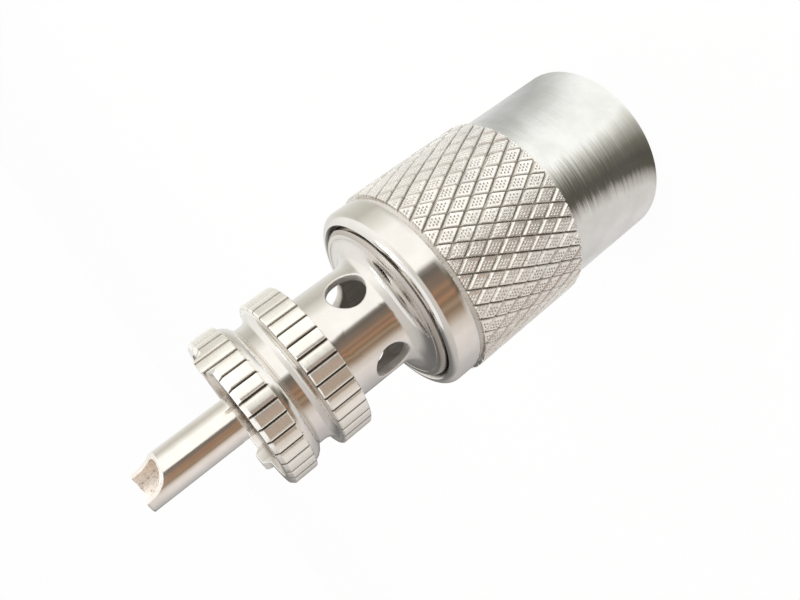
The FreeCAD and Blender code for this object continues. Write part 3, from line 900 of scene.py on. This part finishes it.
def diamond(middle, height, part):
    turns = (middle + (across + along) / 2.0) * 2.0 * math.pi / COLUMNS
    z = height + (across - along) * rise
    tip_in, tip_up, tip_round = press.normal(0.0, 1.0, 3)
    lean = PAD_SINK * tip_in + PAD_TILT * (tip_up * along + tip_round * across)
    worn = press.uniform(WEAR_LOW, WEAR_HIGH, across.shape) * (0.4 + 0.6 * sunk)
    radius = np.minimum(diamond_r + inner * (lean + worn), TOP_R + TOP_SLACK)
    points = np.stack([radius * np.cos(turns), radius * np.sin(turns), z], axis=-1)
    number = ring.add(points, diamond_shade).reshape(across.shape)
    for i in range(cells):
        for j in range(cells):
            a, b = number[i, j], number[i + 1, j]
            c, d = number[i + 1, j + 1], number[i, j + 1]
            if part == "whole" or (part == "upper" and i > j) or (part == "lower" and i < j):
                ring.faces.append([a, d, c, b])
            elif i == j:
                ring.faces.append([a, c, b] if part == "upper" else [a, d, c])
    return [number[i, i] for i in range(cells)]


low_edge, high_edge = [], []
for row in range(ROWS + 1):
    part = "upper" if row == 0 else "lower" if row == ROWS else "whole"
    for step in range(COLUMNS):
        edge = diamond(step + 0.5 * (row % 2), KNURL_LOW + row * rise, part)
        if row == 0:
            low_edge += edge
        elif row == ROWS:
            high_edge += edge
low_edge, high_edge = np.array(low_edge), np.array(high_edge)
print("knurl points:", ring.count, "edge points:", len(low_edge))

# %% [markdown]
# ## The rest of the ring
# In front of the knurl lies a smooth band with a round shoulder, and behind it a brushed sleeve.
# Inside, the mouth carries a fine thread, drawn as a real helix so that its turns show at the
# lip, and a web at the rear has the hole that the barrel slides in.

# %% Outline of the ring's plain parts
RING_BORE_R, SLEEVE_R, BAND_R, FRONT_Z = 8.1, 9.0, 9.3, 27.0
WEB_HOLE_R, WEB_TOP, REAR_ROUND, SHOULDER_R = 6.65, 3.2, 0.5, 0.9
THREAD_TOP, THREAD_END, WELL_TOP = 26.6, 17.6, 17.4
front = soften(
    [
        (EDGE_R, KNURL_HIGH + 0.02),
        (EDGE_R, KNURL_HIGH + 0.3, 0.05),
        (9.27, KNURL_HIGH + 0.36, 0.06),
        (BAND_R, KNURL_HIGH + 0.9),
        (BAND_R, 25.6),
        *arc((BAND_R - SHOULDER_R, FRONT_Z - SHOULDER_R), SHOULDER_R, 0.0, 90.0, 10),
        (8.42, FRONT_Z, 0.1),
        (8.12, 26.72),
    ]
)
inside = soften(
    [
        (RING_BORE_R, WELL_TOP),
        (RING_BORE_R, 12.0),
        (RING_BORE_R, WEB_TOP, 0.3),
        (WEB_HOLE_R, WEB_TOP, 0.1),
        (WEB_HOLE_R, 1.6),
        (WEB_HOLE_R, 0.3, 0.05),
        (WEB_HOLE_R + 0.3, 0.0, 0.08),
        (8.0, 0.0),
        *arc((SLEEVE_R - REAR_ROUND, REAR_ROUND), REAR_ROUND, 270.0, 360.0, 9),
        (SLEEVE_R, 1.6),
        (SLEEVE_R, 5.0),
        (SLEEVE_R, 10.6),
        (SLEEVE_R, 11.3, 0.05),
        (EDGE_R, KNURL_LOW - 0.02),
    ]
)
print("points in the ring's outlines:", len(front), "and", len(inside))

# %% The ring's loops, and the stitch to the knurl at both ends
THREAD_FLOOR_R, MOUTH_CUT = 8.02, 0.36
LIP_SHADE, WELL_SHADE = 0.1, 0.2
loops = [ring.loop(r, z, ring_turns, LIP_SHADE if r < 8.35 else 1.0) for r, z in front]
for height in np.arange(THREAD_TOP, THREAD_END, -PITCH / 9.0):
    depth = thread_depth(height, ring_turns)
    fade_in, fade_out = (FRONT_Z - 0.25 - height) / 0.5, (height - WELL_TOP - 0.1) / 0.8
    fade = min(1.0, max(0.15, fade_in), max(0.0, fade_out))
    wall = THREAD_FLOOR_R + MOUTH_CUT * depth * fade
    loops.append(ring.loop(wall, height, ring_turns, THREAD_SHADE * (1.0 - depth)))
for r, z in inside:
    in_well = r < RING_BORE_R + 0.05 and z > 3.0
    loops.append(ring.loop(r, z, ring_turns, WELL_SHADE if in_well else 1.0))
ring.cover(loops)
# Each plain loop starts near the knurl edge's first turn, so the stitch has short faces.
start_turn = int(round((0.5 * (ROWS % 2) - 0.5) * COARSE / COLUMNS))
ring.stitch(np.roll(loops[0], -start_turn), high_edge)
half_diamond = COARSE // COLUMNS // 2
ring.stitch(np.roll(loops[-1], half_diamond), low_edge)
coupling_ring = ring.build("coupling_ring_turned", 34.0)

# %% Four finishes on one piece: brushed sleeve, bright knurl, polished band, mouth with painted dark shade
for finish in ring_platings:
    coupling_ring.data.materials.append(finish)
for face in coupling_ring.data.polygons:
    z = face.center.z / MM
    r = math.hypot(face.center.x, face.center.y) / MM
    knurled = KNURL_LOW <= z <= KNURL_HIGH and r > 9.15
    in_mouth = z > WELL_TOP and r < 8.4
    face.material_index = 3 if in_mouth else 1 if knurled else 2 if z > KNURL_HIGH else 0
    face.use_smooth = not knurled
finishes_used = [face.material_index for face in coupling_ring.data.polygons]
print("faces of each finish:", [finishes_used.count(k) for k in range(len(ring_platings))])
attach(coupling_ring, "ring")
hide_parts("coupling_ring")

# %% [markdown]
# ## Camera
# The plug stands upright, so the camera is rolled: the axis then runs from the lower left of the
# picture to its upper right, with the pin towards the viewer.

# %% Camera
camera_data = bpy.data.cameras.new("camera")
camera_data.lens = 31.5
camera_data.sensor_width = 36.0
camera_data.clip_start = 0.002
camera = new_object("camera", camera_data)
bpy.context.scene.camera = camera
eye = Vector((-34.262, -48.931, 46.553)) * MM
forward = Vector((0.53429, 0.77744, -0.33184)).normalized()
upward = Vector((0.53838, -0.61562, -0.57546))
right = forward.cross(upward).normalized()
upward = right.cross(forward).normalized()
turn = Matrix((right, upward, -forward)).transposed()
camera.matrix_world = Matrix.Translation(eye) @ turn.to_4x4()
print("camera at", [round(v, 4) for v in camera.location])

# %% [markdown]
# ## Floor and daylight
# A pale floor, a pale world and two large soft lamps give plain daylight. The camera and the
# mirror rays see the floor and the world as white paper, and the floor keeps a trace of the
# plug's shadow.


# %% Pale floor
PAPER_SHARE = 0.95


def pale_surface(name, colour):
    finish = Finish(name)
    finish.shader.inputs["Base Color"].default_value = (*colour, 1.0)
    finish.shader.inputs["Roughness"].default_value = 0.9
    glow = finish.node("Emission", {"Color": (1.0, 1.0, 1.0, 1.0)})
    seen = finish.maths("MULTIPLY", finish.paper_rays(), PAPER_SHARE)
    finish.mix_shaders(seen, finish.shader.outputs[0], glow.outputs[0], finish.output)
    return finish.material


bpy.ops.mesh.primitive_circle_add(vertices=64, radius=3.0, fill_type="NGON", location=(0, 0, 0))
floor = bpy.context.object
floor.name = "floor"
floor.data.materials.append(pale_surface("floor_pale", (0.82, 0.81, 0.80)))
print("floor:", [round(v, 3) for v in floor.dimensions])

# %% Pale world
world = bpy.data.worlds.new("soft_world")
bpy.context.scene.world = world
world.use_nodes = True
dome = Nodes(world.node_tree)
sky = dome.tree.nodes["Background"]
sky.inputs["Color"].default_value = (1.0, 0.985, 0.965, 1.0)
sky.inputs["Strength"].default_value = 0.8
paper = dome.node("Background", {"Color": (0.99, 0.99, 0.99, 1.0)})
world_output = dome.tree.nodes["World Output"]
dome.mix_shaders(dome.paper_rays(), sky.outputs[0], paper.outputs[0], world_output)
print("world strength:", round(sky.inputs["Strength"].default_value, 3))

# %% [markdown]
# ## What the metal reflects
# Polished metal has hardly a colour of its own: its look is the room round it. One after the
# other round each cylinder come pale paper, a dark band with a warm edge, a bright light and a
# grey room. A bowl that only reflections can see carries those tones round the plug. It has
# three sets of tones: one for the paper at its foot, one for the room at the plug's height, and
# one for what lies above. Angles are counted from the side that faces the camera, positive
# towards the light.

# %% Tones of the room
ROOM_TONES = [
    (-180, 0.24, 0.23, 0.22),
    (-160, 0.26, 0.25, 0.24),
    (-148, 0.46, 0.44, 0.43),
    (-140, 0.50, 0.48, 0.47),
    (-118, 0.58, 0.56, 0.55),
    (-98, 0.74, 0.70, 0.68),
    (-76, 0.84, 0.78, 0.74),
    (-62, 0.70, 0.63, 0.57),
    (-52, 0.40, 0.31, 0.23),
    (-46, 0.26, 0.18, 0.12),
    (-41, 0.40, 0.29, 0.20),
    (-36, 0.24, 0.16, 0.10),
    (-31, 0.44, 0.25, 0.15),
    (-26, 0.25, 0.17, 0.12),
    (-21, 0.38, 0.23, 0.145),
    (-16, 0.25, 0.185, 0.14),
    (-9, 0.22, 0.17, 0.135),
    (-2, 0.16, 0.14, 0.118),
    (3, 0.28, 0.255, 0.23),
    (8, 1.15, 1.13, 1.08),
    (60, 1.15, 1.13, 1.08),
    (76, 0.86, 0.85, 0.78),
    (98, 0.60, 0.58, 0.52),
    (120, 0.68, 0.67, 0.61),
    (142, 0.84, 0.83, 0.80),
    (176, 0.86, 0.86, 0.85),
    (180, 0.50, 0.49, 0.48),
]
print("tones of the room:", len(ROOM_TONES))

# %% Tones of the paper
PAPER_TONES = [
    (-180, 0.24, 0.23, 0.22),
    (-160, 0.30, 0.29, 0.28),
    (-142, 0.70, 0.69, 0.68),
    (-125, 0.78, 0.77, 0.76),
    (-104, 0.69, 0.67, 0.66),
    (-80, 0.75, 0.73, 0.72),
    (-51, 0.73, 0.70, 0.68),
    (-43, 0.50, 0.47, 0.44),
    (-36, 0.12, 0.11, 0.09),
    (-26, 0.10, 0.095, 0.08),
    (-16, 0.18, 0.17, 0.14),
    (-6, 0.48, 0.47, 0.42),
    (2, 0.86, 0.85, 0.80),
    (8, 1.12, 1.12, 1.10),
    (36, 1.10, 1.10, 1.08),
    (48, 0.94, 0.94, 0.93),
    (62, 0.70, 0.70, 0.68),
    (80, 0.54, 0.54, 0.53),
    (98, 0.64, 0.64, 0.64),
    (118, 0.80, 0.80, 0.79),
    (180, 0.80, 0.80, 0.79),
]
print("tones of the paper:", len(PAPER_TONES))

# %% Tones of what lies above
UPPER_TONES = [
    (-180, 0.30, 0.29, 0.28),
    (-172, 0.16, 0.155, 0.15),
    (-150, 0.22, 0.215, 0.21),
    (-120, 0.55, 0.53, 0.51),
    (-60, 0.66, 0.62, 0.59),
    (0, 0.70, 0.68, 0.64),
    (60, 1.10, 1.09, 1.05),
    (150, 0.95, 0.94, 0.91),
    (171, 0.92, 0.91, 0.88),
    (176, 0.60, 0.59, 0.57),
    (180, 0.30, 0.29, 0.28),
]
print("tones above:", len(UPPER_TONES))

# %% [markdown]
# ## The bowl
# Two values are stored in the bowl's points: the share of a full turn, which picks the tone, and
# the height in the room, where 0 is paper, 1 is the room and 2 is above. Near the foot the
# outline is twisted to and fro, so that the edges between tones are not straight lines.


# %% The bowl's shape
CAMERA_SIDE = math.radians(-125.0)
BOWL_STEPS = 120
BOWL_OUTLINE = [
    (0.0088, 0.00005, 0.0, 0.0),
    (0.0096, 0.00015, 0.0, 2.0),
    (0.017, 0.0003, 0.0, -2.0),
    (0.032, 0.0003, 0.0, 2.0),
    (0.055, 0.0003, 1.0, 0.0),
    (0.16, 0.0003, 1.0, 0.0),
    (0.17, 0.06, 1.0, 0.0),
    (0.17, 0.085, 2.0, 0.0),
    (0.17, 0.30, 2.0, 0.0),
]


def bowl_mesh(name):
    points, faces, shares, rooms = [], [], [], []
    for i in range(BOWL_STEPS + 1):
        share = i / BOWL_STEPS
        straight = CAMERA_SIDE + 2.0 * math.pi * (share - 0.5)
        for radius, z, room, twist in BOWL_OUTLINE:
            a = straight + math.radians(twist)
            points.append((radius * math.cos(a), radius * math.sin(a), z))
            shares.append(share)
            rooms.append(room)
    row = len(BOWL_OUTLINE)
    for i in range(BOWL_STEPS):
        for k in range(row - 1):
            first = i * row + k
            faces.append([first, first + 1, first + row + 1, first + row])
    mesh = bpy.data.meshes.new(name)
    mesh.from_pydata(points, [], faces)
    for layer_name, values in (("share", shares), ("room", rooms)):
        layer = mesh.attributes.new(layer_name, "FLOAT", "POINT")
        layer.data.foreach_set("value", values)
    return mesh


obj = new_object("reflection_bowl", bowl_mesh("reflection_bowl"))
print("bowl faces:", len(obj.data.polygons))


# %% The bowl's glow, seen by reflections only
def bowl_finish(name):
    finish = Finish(name)
    share, room = finish.stored("share"), finish.stored("room")
    ramps = []
    for tones in (PAPER_TONES, ROOM_TONES, UPPER_TONES):
        stops = [((angle + 180.0) / 360.0, colour) for angle, *colour in tones]
        ramps.append(finish.ramp(share, stops))
    low = finish.blend(room, ramps[0], ramps[1])
    whole = finish.blend(finish.maths("SUBTRACT", room, 1.0), low, ramps[2])
    glow = finish.node("Emission")
    finish.join(whole, glow.inputs["Color"])
    finish.join(glow.outputs[0], finish.output.inputs["Surface"])
    return finish.material


obj.data.materials.append(bowl_finish("reflection_bowl_tones"))
obj.visible_camera = False
obj.visible_diffuse = False
obj.visible_shadow = False
print("bowl seen by glossy rays:", obj.visible_glossy)


# %% Soft lamps
PLUG_MIDDLE = Vector((0.0, 0.0, 0.026))


def soft_lamp(name, turn, lift, distance, size, power, colour):
    data = bpy.data.lights.new(name, "AREA")
    data.shape = "RECTANGLE"
    data.size, data.size_y = size
    data.energy = power
    data.color = colour
    lamp = new_object(name, data)
    a, e = math.radians(turn), math.radians(lift)
    aim = Vector((math.cos(a) * math.cos(e), math.sin(a) * math.cos(e), math.sin(e)))
    lamp.location = PLUG_MIDDLE + aim * distance
    lamp.rotation_mode = "QUATERNION"
    lamp.rotation_quaternion = aim.to_track_quat("Z", "Y")
    return lamp

key_lamp = soft_lamp("key_lamp", -70.0, 34.0, 0.30, (0.22, 0.30), 0.5, (1.0, 0.985, 0.96))
top_lamp = soft_lamp("top_lamp", 20.0, 62.0, 0.40, (0.30, 0.30), 0.4, (1.0, 1.0, 1.0))
for lamp in (key_lamp, top_lamp):
    print(lamp.name, "at", [round(v, 3) for v in lamp.location])

# %% Plain colour settings
bpy.context.scene.view_settings.view_transform = "Standard"
